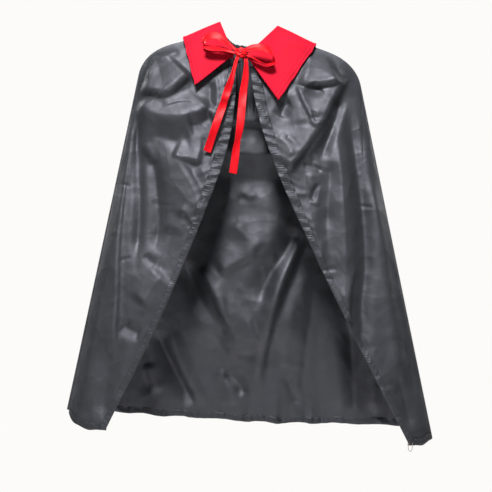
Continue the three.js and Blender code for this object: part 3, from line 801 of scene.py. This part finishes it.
def back_y(x, z):
    off, under, inside = depth(x, z, BACK_DEPTH)
    held = smoothstep(0, 26, under) * smoothstep(0, 22, inside)
    drawn = folds(x, z, BACK_FOLDS)
    under_neck = smoothstep(60, 10, np.abs(x)) * smoothstep(-118, -92, z)
    pleats = 2.8 * np.sin(x / 1.9 + 0.8 * np.sin(z / 40)) * under_neck
    flutes = 5 * np.sin(x / 34 + 0.6) * smoothstep(-160, -420, z)
    small = crinkle(x, z, 21, 120, 0.45)
    gather = np.sin(x / 4.6 + 1.5 * np.sin(x / 23)) + 0.5 * np.sin(x / 2.3 + 2)
    tucks = (1 - np.abs(np.sin(x / 22 + 1.4 * np.sin(x / 57)))) ** 3
    near_hem = np.exp(-np.abs(z - HEM_Z) / 24) * smoothstep(0, 22, inside)
    return off - held * (drawn + small + pleats + flutes) + (1.4 * gather - 5 * tucks) * near_hem


def back_shape(u, v):
    across = np.sin((0.5 - u) * math.pi)
    top = back_top(across * SHOULDER_HALF_WIDTH)
    z = lerp(back_hem_line(across * HEM_HALF_WIDTH), top, v)
    x = across * lerp(HEM_HALF_WIDTH, SHOULDER_HALF_WIDTH, v)
    return np.stack([x, back_y(x, z), z], axis=1)


back = grid("back_panel", 210, 200, back_shape)
two_sided(back, CLOTH_THICKNESS, offset=-1)
finish_piece(back, taffeta, "cape_nylon", "back_cloth")
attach(back, "cape")


# %% [markdown]
# ## Hems
# A hem is the cloth's edge turned over and stitched, so it is a flat tube. The thread draws it up, and the
# cloth puckers in slanting ruches, most of all near the neck.


# %% Hem tubes
def flat_tube(name, n_around, n_along, middle, across, off, width, thick, pucker):
    """A flat closed tube. middle, across and off are functions of v along it that give points and directions,
    width and thick give its half sizes, and pucker(v, flat) raises its faces."""

    def shape(u, v):
        turn = u * 2 * math.pi
        taper = np.minimum(1, np.minimum(v, 1 - v) * n_along / 2)
        flat = np.sign(np.cos(turn)) * np.abs(np.cos(turn)) ** 0.8
        w = (width(v) * flat)[:, None]
        h = ((thick(v) + pucker(v, flat)) * np.sin(turn) * taper)[:, None]
        return middle(v) + across(v) * w + off(v) * h

    tube = grid(name, n_around, n_along, shape)
    sew(tube)
    return tube


def forwards(v):
    return np.tile([0.0, -1.0, 0.0], (len(v), 1))


EDGE_TOP_Z = -34
EDGE_LENGTH = 640  # along the front edge, near enough for spacing the puckers


def edge_hem(side):
    sign = SIGN[side]
    low_z = float(hem_line(side, np.array([0.0]))[0])

    def hem_width(v):
        return lerp(5.8, 9.5, smoothstep(0.42, 0.75, v)) * (1 - 0.3 * smoothstep(0.93, 1, v))

    def line(v):
        z = lerp(low_z, EDGE_TOP_Z, v)
        return FRONT_EDGE[side](z) + sign * hem_width(v), z

    def middle(v):
        x, z = line(v)
        return np.stack([x, front_y(side, x, z) - 0.6, z], axis=1)

    def across(v):
        x, z = line(v)
        dx = 1.5
        slope = (front_y(side, x + dx, z) - front_y(side, x - dx, z)) / (2 * dx)
        d = np.stack([np.ones_like(x), slope * 0.6, np.zeros_like(x)], axis=1)
        return d * sign / np.linalg.norm(d, axis=1)[:, None]

    rng = np.random.default_rng(5 if side == "left" else 6)
    waves = [(rng.uniform(1.8, 6.5), rng.uniform(0, 6.28), rng.uniform(-1.5, 0.2), rng.uniform(3, 9))
             for _ in range(7)]

    def pucker(v, q):
        length = v * EDGE_LENGTH
        w = hem_width(v)
        total = 0
        for period, phase, slant, bend in waves:
            turn = length / period * 1.57 + phase + slant * q * w / 3 + 0.8 * np.sin(length / 3 / bend)
            total = total + 1 - np.abs(np.sin(turn))
        total /= len(waves)
        uneven = 0.75 + 0.35 * np.sin(length / 17 + 1.5 * np.sin(length / 29))
        ruched = lerp(1.8, 2.4, smoothstep(0.42, 0.72, v)) * uneven
        stitched = -0.5 * np.exp(-((q - 0.55) / 0.12) ** 2) * lerp(0.8, 1.2, v)
        return ruched * (total - 0.2) * (1 - 0.35 * q**2) + stitched

    hem = flat_tube(f"{side}_edge_hem", 28, 1100, middle, across, forwards, hem_width, np.ones_like, pucker)
    finish_piece(hem, hem_taffeta, "stitched_hem", f"{side}_upper_edge_hem", f"{side}_lower_edge_hem")
    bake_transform(hem)
    return hem


def bottom_hem(name, x_from, x_to, z_at, y_at, n_along, body, *nodes):
    """A hem along the bottom edge, on the side of the cloth that faces the front."""

    def middle(v):
        x = lerp(x_from, x_to, v)
        z = z_at(x) + 5
        return np.stack([x, y_at(x, z) - 0.5, z], axis=1)

    def across(v):
        return np.tile([0.0, 0.0, 1.0], (len(v), 1))

    def pucker(v, q):
        length = lerp(x_from, x_to, v)
        gather = 1 - np.abs(np.sin(length / 9.5 + 0.9 * np.sin(length / 31) + 0.5 * q))
        tuck = (1 - np.abs(np.sin(length / 22 + 1.4 * np.sin(length / 57) + 0.3 * q))) ** 2
        stitched = -0.5 * np.exp(-((q - 0.5) / 0.14) ** 2)
        return 1.2 * gather + 1.6 * tuck - 0.4 + stitched + 0.2 * np.sin(length / 1.9 + q)

    hem = flat_tube(name, 16, n_along, middle, across, forwards, lambda v: np.full_like(v, 6),
                    lambda v: np.full_like(v, 0.6), pucker)
    finish_piece(hem, hem_taffeta, "stitched_hem", *nodes)
    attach(hem, body)
    return hem


edge_hems = {side: edge_hem(side) for side in SIGN}
HEM_END = HEM_HALF_WIDTH - 5  # the hems stop short of the side fold, where front and back swing apart
back_hem = bottom_hem("back_bottom_hem", -HEM_END, HEM_END, back_hem_line, back_y, 620, "cape", "back_hem")
for side, sign in SIGN.items():
    inner = FRONT_EDGE[side](HEM_Z) + sign * EDGE_BAND

    def side_hem_line(x):
        return hem_line(side, (x - inner) / (sign * HEM_HALF_WIDTH - inner))

    def side_hem_y(x, z):
        return front_y(side, x, z)

    bottom_hem(f"{side}_bottom_hem_band", inner + sign * 2, sign * HEM_END, side_hem_line,
                                 side_hem_y, 100, f"{side}_front", f"{side}_bottom_hem")


# %% [markdown]
# ## Neck casing
# The top of the cloth is gathered onto the ribbon that runs through this casing, so it is a puffy tube full
# of small tight gathers.


# %% Neck casing
casing_line = np.vstack([NECKLINE["left"], NECKLINE["right"][::-1][1:]])
casing_line = smooth_line(casing_line[::20], 900)


def casing_frame(v):
    p = along(casing_line, v)
    ahead = along(casing_line, np.clip(v + 0.004, 0, 1)) - along(casing_line, np.clip(v - 0.004, 0, 1))
    t = ahead / np.linalg.norm(ahead, axis=1)[:, None]
    front = np.clip(-p[:, 1] / 24, 0, 1)
    lean = np.stack([-np.sign(p[:, 0] + 10) * 0.9 * front, 0 * front, 1 + 0 * front], axis=1)
    up = lean - t * (lean * t).sum(1)[:, None]
    up /= np.linalg.norm(up, axis=1)[:, None]
    out = np.cross(t, up)
    return p, t, up, out


def casing_shape(u, v):
    p, _, up, out = casing_frame(v)
    turn = u * 2 * math.pi
    length = v * 230
    taper = np.minimum(1, np.minimum(v, 1 - v) * 60)
    gather = np.abs(np.sin(length / 4.4 * math.pi + 0.7 * np.sin(length / 11))) ** 0.8
    frill = 0.9 * np.sin(length / 1.5) + 0.6 * np.sin(length / 3.7)
    half = 6.2 + 0.5 * frill * (np.cos(turn) > 0)
    height = np.cos(turn) * half
    body = (1.0 + 1.3 * gather * (0.6 + 0.4 * np.cos(turn * 2))) * np.sin(turn) * taper
    return p + up * (6 + height)[:, None] + out * body[:, None]


casing = grid("ruched_neck_casing", 24, 520, casing_shape)
sew(casing)
finish_piece(casing, casing_taffeta_painted_shade, "neck_casing", "neck_casing")
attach(casing, "cape")

# %% [markdown]
# ## Collar
# Each half of the collar is cut as a curved strip with one long point. It is lofted here through stations
# that go from the front edge, over the shoulder ridge, to the middle of the back. It becomes three pieces:
# two wings and the back that joins them. Solidify gives the two layers,
# the outer one and the darker one underneath.

# %% Collar halves
COLLAR = {
    "left": {"knot": (-27, -17), "neck": (-51, 43), "shoulder": (-114, 14), "point": (-92, -73),
             "point_y": -44},
    "right": {"knot": (-6, -17), "neck": (48, 41), "shoulder": (114, 13), "point": (48, -92),
              "point_y": -50},
}


def wing_plane(side):
    """The depth of the flat plane that a wing lies in, as a function of x and z."""
    c = COLLAR[side]
    corners = (("neck", -8), ("shoulder", -8), ("point", c["point_y"]))
    a, b, p = (np.array([c[name][0], y, c[name][1]], float) for name, y in corners)
    n = np.cross(b - a, p - a)
    return lambda x, z: -(np.dot(n, -a) + n[0] * x + n[2] * z) / n[1]


def collar_stations(side):
    """The stand's lower edge, the roll and the outer edge at each station, from front to back seam."""
    c = COLLAR[side]
    s = SIGN[side]
    y = wing_plane(side)
    nx, nz = c["neck"]
    sx, sz = c["shoulder"]
    stand, roll, outer = [], [], []
    for t in (0, 0.25, 0.5, 0.75, 0.93):
        x, z = lerp(np.array(c["knot"]), np.array(c["neck"]), t)
        roll.append((x, y(x, z) - 1.2, z))
        stand.append((x + s * 3, y(x, z) + 4, z - 6))
        x, z = lerp(np.array(c["point"]), np.array(c["shoulder"]), t)
        outer.append((x, y(x, z) - 1.2, z))
    roll += [(nx, -4, nz + 1), (nx * 0.95, 4, nz - 5), (s * 43, 13, 26), (s * 33, 19, 16), (s * 23, 22, 9),
             (s * 12, 25, 1), (0, 26, -3)]
    stand += [(s * 46, -3, 30), (s * 42, 0, 19), (s * 35, 6, 9), (s * 27, 12, 2), (s * 21, 19, 1),
              (s * 12, 24, -5), (0, 25, -8)]
    outer += [(sx, -3.5, sz + 1), (sx, 5, sz - 3), (sx * 0.995, 17, -18), (sx * 0.97, 28, -44),
              (sx * 0.86, 34, -66), (sx * 0.45, 36, -70), (0, 36.5, -72)]
    return [np.array(q, float) for q in (stand, roll, outer)]


STAND_SHARE = 0.18
COLLAR_LENGTH = 330  # of one half along its outer edge, near enough for spacing the ripples
AT_RIDGE = 5 / 11  # the sixth of the twelve stations lies on the shoulder ridge


def collar_shape(side):
    """The half as a function of u, from its front edge to the back seam, and v, from the stand outwards."""
    stand, roll, outer = (smooth_stations(q) for q in collar_stations(side))

    def shape(u, v):
        s, a, b = along(stand, u), along(roll, u), along(outer, u)
        up = np.clip(v / STAND_SHARE, 0, 1)[:, None]
        across = np.clip((v - STAND_SHARE) / (1 - STAND_SHARE), 0, 1)
        p = np.where(v[:, None] < STAND_SHARE, s + (a - s) * up, a + (b - a) * across[:, None])
        length = u * COLLAR_LENGTH
        hang = np.exp(-((1 - across) / 0.05) ** 2)
        ripple = 0.5 * np.sin(length / 3.1 + 1.3 * np.sin(length / 9)) * hang
        sway = 1.8 * np.sin(length / 24 + across * 3.5 + 1) * np.sin(across * 3.1)
        sway += 0.5 * np.sin(length / 9 - across * 6) * across
        pressed = -0.5 * np.exp(-((1 - across - 0.1 - 0.05 * u) / 0.02) ** 2) * (u < 0.4)
        seam = -0.8 * np.exp(-((1 - across - 0.05) / 0.014) ** 2)
        front = smoothstep(0.6, 0.45, u)
        p[:, 1] -= front * (ripple + sway + pressed + seam) - (1 - front) * (ripple + seam + sway)
        p[:, 2] += (0.6 * np.sin(length / 4.7) + 0.6 * np.sin(length / 11 + 1)) * hang
        p[:, 0] += 0.5 * np.sin(length / 7.3) * hang
        return p

    return shape


def smooth_stations(points, samples=600):
    """A Catmull-Rom line through the stations that keeps them evenly spaced in its parameter."""
    p = np.asarray(points, float)
    ends = np.vstack([2 * p[0] - p[1], p, 2 * p[-1] - p[-2]])
    s = np.linspace(0, len(p) - 1, samples)
    i = np.minimum(s.astype(int), len(p) - 2)
    t = (s - i)[:, None]
    a, b, c, d = (ends[i + k] for k in range(4))
    return catmull_rom(a, b, c, d, t)


def sew_collar(name, nu, shape, *nodes):
    piece = grid(name, nu, 84, shape)
    two_sided(piece, COLLAR_THICKNESS, offset=0, material_offset=1, material_offset_rim=0)
    return finish_piece(piece, [collar_cloth, collar_under], "collar_cloth", *nodes)


half_collar = {side: collar_shape(side) for side in SIGN}
CREASE_ENDS = (("knot", 0.32), ("shoulder", 0.3))  # the crease's ends, as shares of the way to the point


def wing_shape(side):
    """From the front edge to the ridge. The right wing runs the other way, so that both face outwards."""
    if side == "left":
        return lambda u, v: half_collar[side](lerp(0, AT_RIDGE, u), v)
    return lambda u, v: half_collar[side](lerp(AT_RIDGE, 0, u), v)


def back_collar_shape(u, v):
    left = half_collar["left"](lerp(AT_RIDGE, 1, np.minimum(2 * u, 1)), v)
    right = half_collar["right"](lerp(AT_RIDGE, 1, np.minimum(2 - 2 * u, 1)), v)
    return np.where((u < 0.5)[:, None], left, right)


wings = {}
for side in SIGN:
    layers = [f"{side}_collar_{part}" for part in ("lining", "top", "point_lining", "point_top")]
    wings[side] = sew_collar(f"{side}_collar_wing", 100, wing_shape(side), *layers)
    c = COLLAR[side]
    crease = [lerp(np.array(c[start]), np.array(c["point"]), t) for start, t in CREASE_ENDS]
    middle = (crease[0] + crease[1]) / 2
    run = crease[1] - crease[0]
    down = np.array([run[1], -run[0]]) / np.linalg.norm(run)
    down = down if down[1] < 0 else -down
    ends = [to_frame([[q[0], -30, q[1]]])[0] for q in (middle - down * 6, middle + down * 10)]
    ends[1][1] = ends[0][1]
    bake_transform(wings[side])
back_collar = sew_collar("back_collar", 180, back_collar_shape, "back_collar_lining", "back_collar_top")
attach(back_collar, "cape")

# %% [markdown]
# ## Ribbon and bow
# The ribbon is one flat band, 12.7 mm wide. Each part of the bow follows its own line, and the band turns
# about it, so the satin shows its face in one place and its edge in the next.

# %% Ribbon bands
RIBBON = 12.7
RIBBON_THICKNESS = 0.35


def ribbon(name, points, turns, widths, n_along, body, *nodes, wave=0.0):
    """A band through points. turns are the directions of its width, and widths its share of the whole."""
    line = smooth_line(points, 500)
    share = np.linspace(0, 1, len(turns))
    wide = np.linspace(0, 1, len(widths))

    def shape(u, v):
        p = along(line, v)
        t = along(line, np.clip(v + 0.01, 0, 1)) - along(line, np.clip(v - 0.01, 0, 1))
        t /= np.linalg.norm(t, axis=1)[:, None]
        d = np.stack([np.interp(v, share, [q[k] for q in turns]) for k in range(3)], axis=1)
        d -= t * (d * t).sum(1)[:, None]
        d /= np.linalg.norm(d, axis=1)[:, None]
        n = np.cross(d, t)
        half = RIBBON * np.interp(v, wide, widths)
        narrow = 1 - half / RIBBON
        q = u - 0.5
        cup = 0.5 * (1 - (2 * q) ** 2) + 1.3 * narrow * np.cos(q * 3 * math.pi)
        return p + d * (half * q)[:, None] + n * (cup + wave * np.sin(v * 9))[:, None]

    band = grid(name, 16, n_along, shape)
    two_sided(band, RIBBON_THICKNESS, offset=0)
    finish_piece(band, ribbon_satin, "ribbon_satin", *nodes)
    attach(band, body)
    print(name, round(float(np.linalg.norm(np.diff(line, axis=0), axis=1).sum())), "mm long")
    return band


LOOP = {
    "left": [(-20, -50, -14), (-33, -49, -3), (-49, -48, 9), (-63, -45, 12), (-74, -41, 6), (-76, -39, -2),
             (-68, -41, -8), (-50, -46, -11), (-34, -49, -14), (-20, -51, -17)],
    "right": [(-10, -50, -13), (3, -51, -7), (18, -52, -6), (32, -50, -9), (40, -46, -18), (40, -43, -28),
              (31, -45, -33), (17, -48, -28), (3, -49, -21), (-10, -50, -17)],
}
LOOP_TURNS = {
    "left": [(0.3, -0.5, -0.8), (0.3, -0.4, -0.9), (0.2, -0.3, -0.95), (0.3, -0.5, -0.8), (0.2, -0.7, -0.7),
             (0, -0.8, -0.6), (0, -0.6, -0.8)],
    "right": [(-0.1, -0.2, -1), (0, -0.1, -1), (0.1, -0.2, -1), (0.3, -0.5, -0.9), (0.3, -0.8, -0.5),
              (0.2, -0.9, -0.3), (0, -0.9, -0.5), (0, -0.7, -0.7)],
}
LOOP_WIDTHS = {
    "left": [0.5, 0.75, 0.95, 1, 1, 1, 0.95, 0.7, 0.45],
    "right": [0.5, 0.85, 1, 1, 1, 0.95, 0.8, 0.6, 0.45],
}
TAIL = {
    "left": [(-19, -52, -20), (-23, -54, -32), (-30, -57, -60), (-37, -54, -80), (-41, -57, -93),
             (-45, -55, -106), (-56, -61, -139), (-71, -55, -184)],
    "right": [(-6.5, -55, -26), (-6, -56, -35), (-7, -54, -56), (-10, -53, -76), (-13, -58, -104),
              (-16, -62, -138), (-21, -60, -168), (-28, -57, -218)],
}
TAIL_TURNS = {
    "left": [(1, 0.1, 0), (1, 0.5, 0), (1, 0.1, 0.2), (1, 0.35, 0.2), (1, -0.1, 0.3), (1, 0.3, 0.3),
             (1, 0, 0.3)],
    "right": [(1, 0.3, 0.2), (1, 0.1, 0), (1, 0.3, 0.1), (1, -0.2, 0.1), (1, 0.1, 0.1), (1, 0.7, 0.2),
              (1, -0.1, 0.1), (1, 0.1, 0.1)],
}
TAIL_WIDTHS = {"left": [0.4, 0.55, 0.95, 1, 1, 1, 1], "right": [0.45, 0.8, 1, 1, 1, 0.9, 1, 1]}
TAIL_STEPS = {"left": 160, "right": 170}
for side in SIGN:
    ribbon(f"{side}_loop", LOOP[side], LOOP_TURNS[side], LOOP_WIDTHS[side], 120, "cape", f"{side}_bow_loop",
           wave=0.7)
for side in SIGN:
    ribbon(f"{side}_tail", TAIL[side], TAIL_TURNS[side], TAIL_WIDTHS[side], TAIL_STEPS[side],
           f"{side}_tail", f"{side}_ribbon_tail")

# %% [markdown]
# ## Knot and tie ends
# The knot is a turn of the same ribbon pulled tight, so it is drawn as a small grooved lump. Two short ends
# come out of the casing, under the collar, and go into it from behind.

# %% Knot and tie ends
KNOT_CENTRE = np.array([-15, -49, -16])
KNOT_SIZE = np.array([11, 6, 8.8])


def knot_shape():
    bpy.ops.object.select_all(action="DESELECT")
    bpy.ops.mesh.primitive_uv_sphere_add(segments=48, ring_count=32, radius=1, location=(0, 0, 0))
    knot = bpy.context.object
    knot.name = "knot"
    flat = np.zeros(len(knot.data.vertices) * 3)
    knot.data.vertices.foreach_get("co", flat)
    p = flat.reshape(-1, 3)
    groove = 0.1 * np.sin(p[:, 0] * 5 + p[:, 2] * 7) + 0.07 * np.sin(p[:, 2] * 14 - p[:, 0] * 4)
    p = p * (1 + groove)[:, None]
    place(knot, p * KNOT_SIZE + KNOT_CENTRE)
    sew(knot)
    finish_piece(knot, ribbon_satin, "ribbon_satin", "bow_knot")
    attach(knot, "cape")


knot_shape()
for side, sign in SIGN.items():
    route = [(-15 + sign * 7, -27, -24), (-15 + sign * 6, -35, -20), (-15 + sign * 3, -44, -16)]
    ribbon(f"{side}_tie", route, [(0.3, 0, 1)] * 3, [0.8, 0.7, 0.5], 20, "cape", f"{side}_tie_end")

# %% [markdown]
# ## Ribbon drawn through the casing
# The middle of the ribbon runs inside the casing, round the back of the neck. It can't be seen, but it is
# what the cloth is gathered on.

# %% Ribbon drawn through the casing
DRAWN_WIDTH = 9.6  # the ribbon is narrower where the gathers crush it


def drawn_shape(u, v):
    p, _, up, _ = casing_frame(lerp(0.01, 0.99, v))
    return p + up * (6 + DRAWN_WIDTH * (u - 0.5))[:, None]


drawn = grid("drawn_ribbon_band", 8, 240, drawn_shape)
two_sided(drawn, RIBBON_THICKNESS, offset=0)
finish_piece(drawn, ribbon_satin, "ribbon_satin", "drawn_ribbon")
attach(drawn, "cape")


# %% [markdown]
# ## Loose thread
# A loop of sewing thread hangs from the right-hand corner of the hem, where the seam was finished off.

# %% Thread loop
THREAD = 0.001  # metres: drawn thicker than real thread, so that it can be seen
LOOP_X = 262


def thread_loop():
    edge = LOOP_X
    y = -float(depth(np.array([edge]), np.array([HEM_Z]), FRONT_DEPTH)[0][0]) - 1.25 - 1.3
    half, drop = 3.4, 14
    start = HEM_Z - 0.8
    route = [(half, 0), (half * 1.02, -drop * 0.35), (half * 0.8, -drop * 0.75), (0, -drop),
             (-half * 0.8, -drop * 0.8), (-half, -drop * 0.4), (-half * 0.55, 0)]
    points = to_frame(smooth_line([(edge + 4 + dx, y, start + dz) for dx, dz in route], 36))
    data = bpy.data.curves.new("thread_loop", "CURVE")
    data.dimensions = "3D"
    line = data.splines.new("POLY")
    line.points.add(len(points) - 1)
    for spot, p in zip(line.points, points):
        spot.co = (*p, 1)
    data.bevel_depth = THREAD / 2
    data.bevel_resolution = 3
    data.use_fill_caps = True
    loop = bpy.data.objects.new("thread_loop", data)
    bpy.context.scene.collection.objects.link(loop)
    loop.data.materials.append(loop_thread)
    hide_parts("hem_thread_loop")
    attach(loop, "right_front")


thread_loop()

# %% [markdown]
# ## Sheets

for side in SIGN:
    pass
for side in SIGN:
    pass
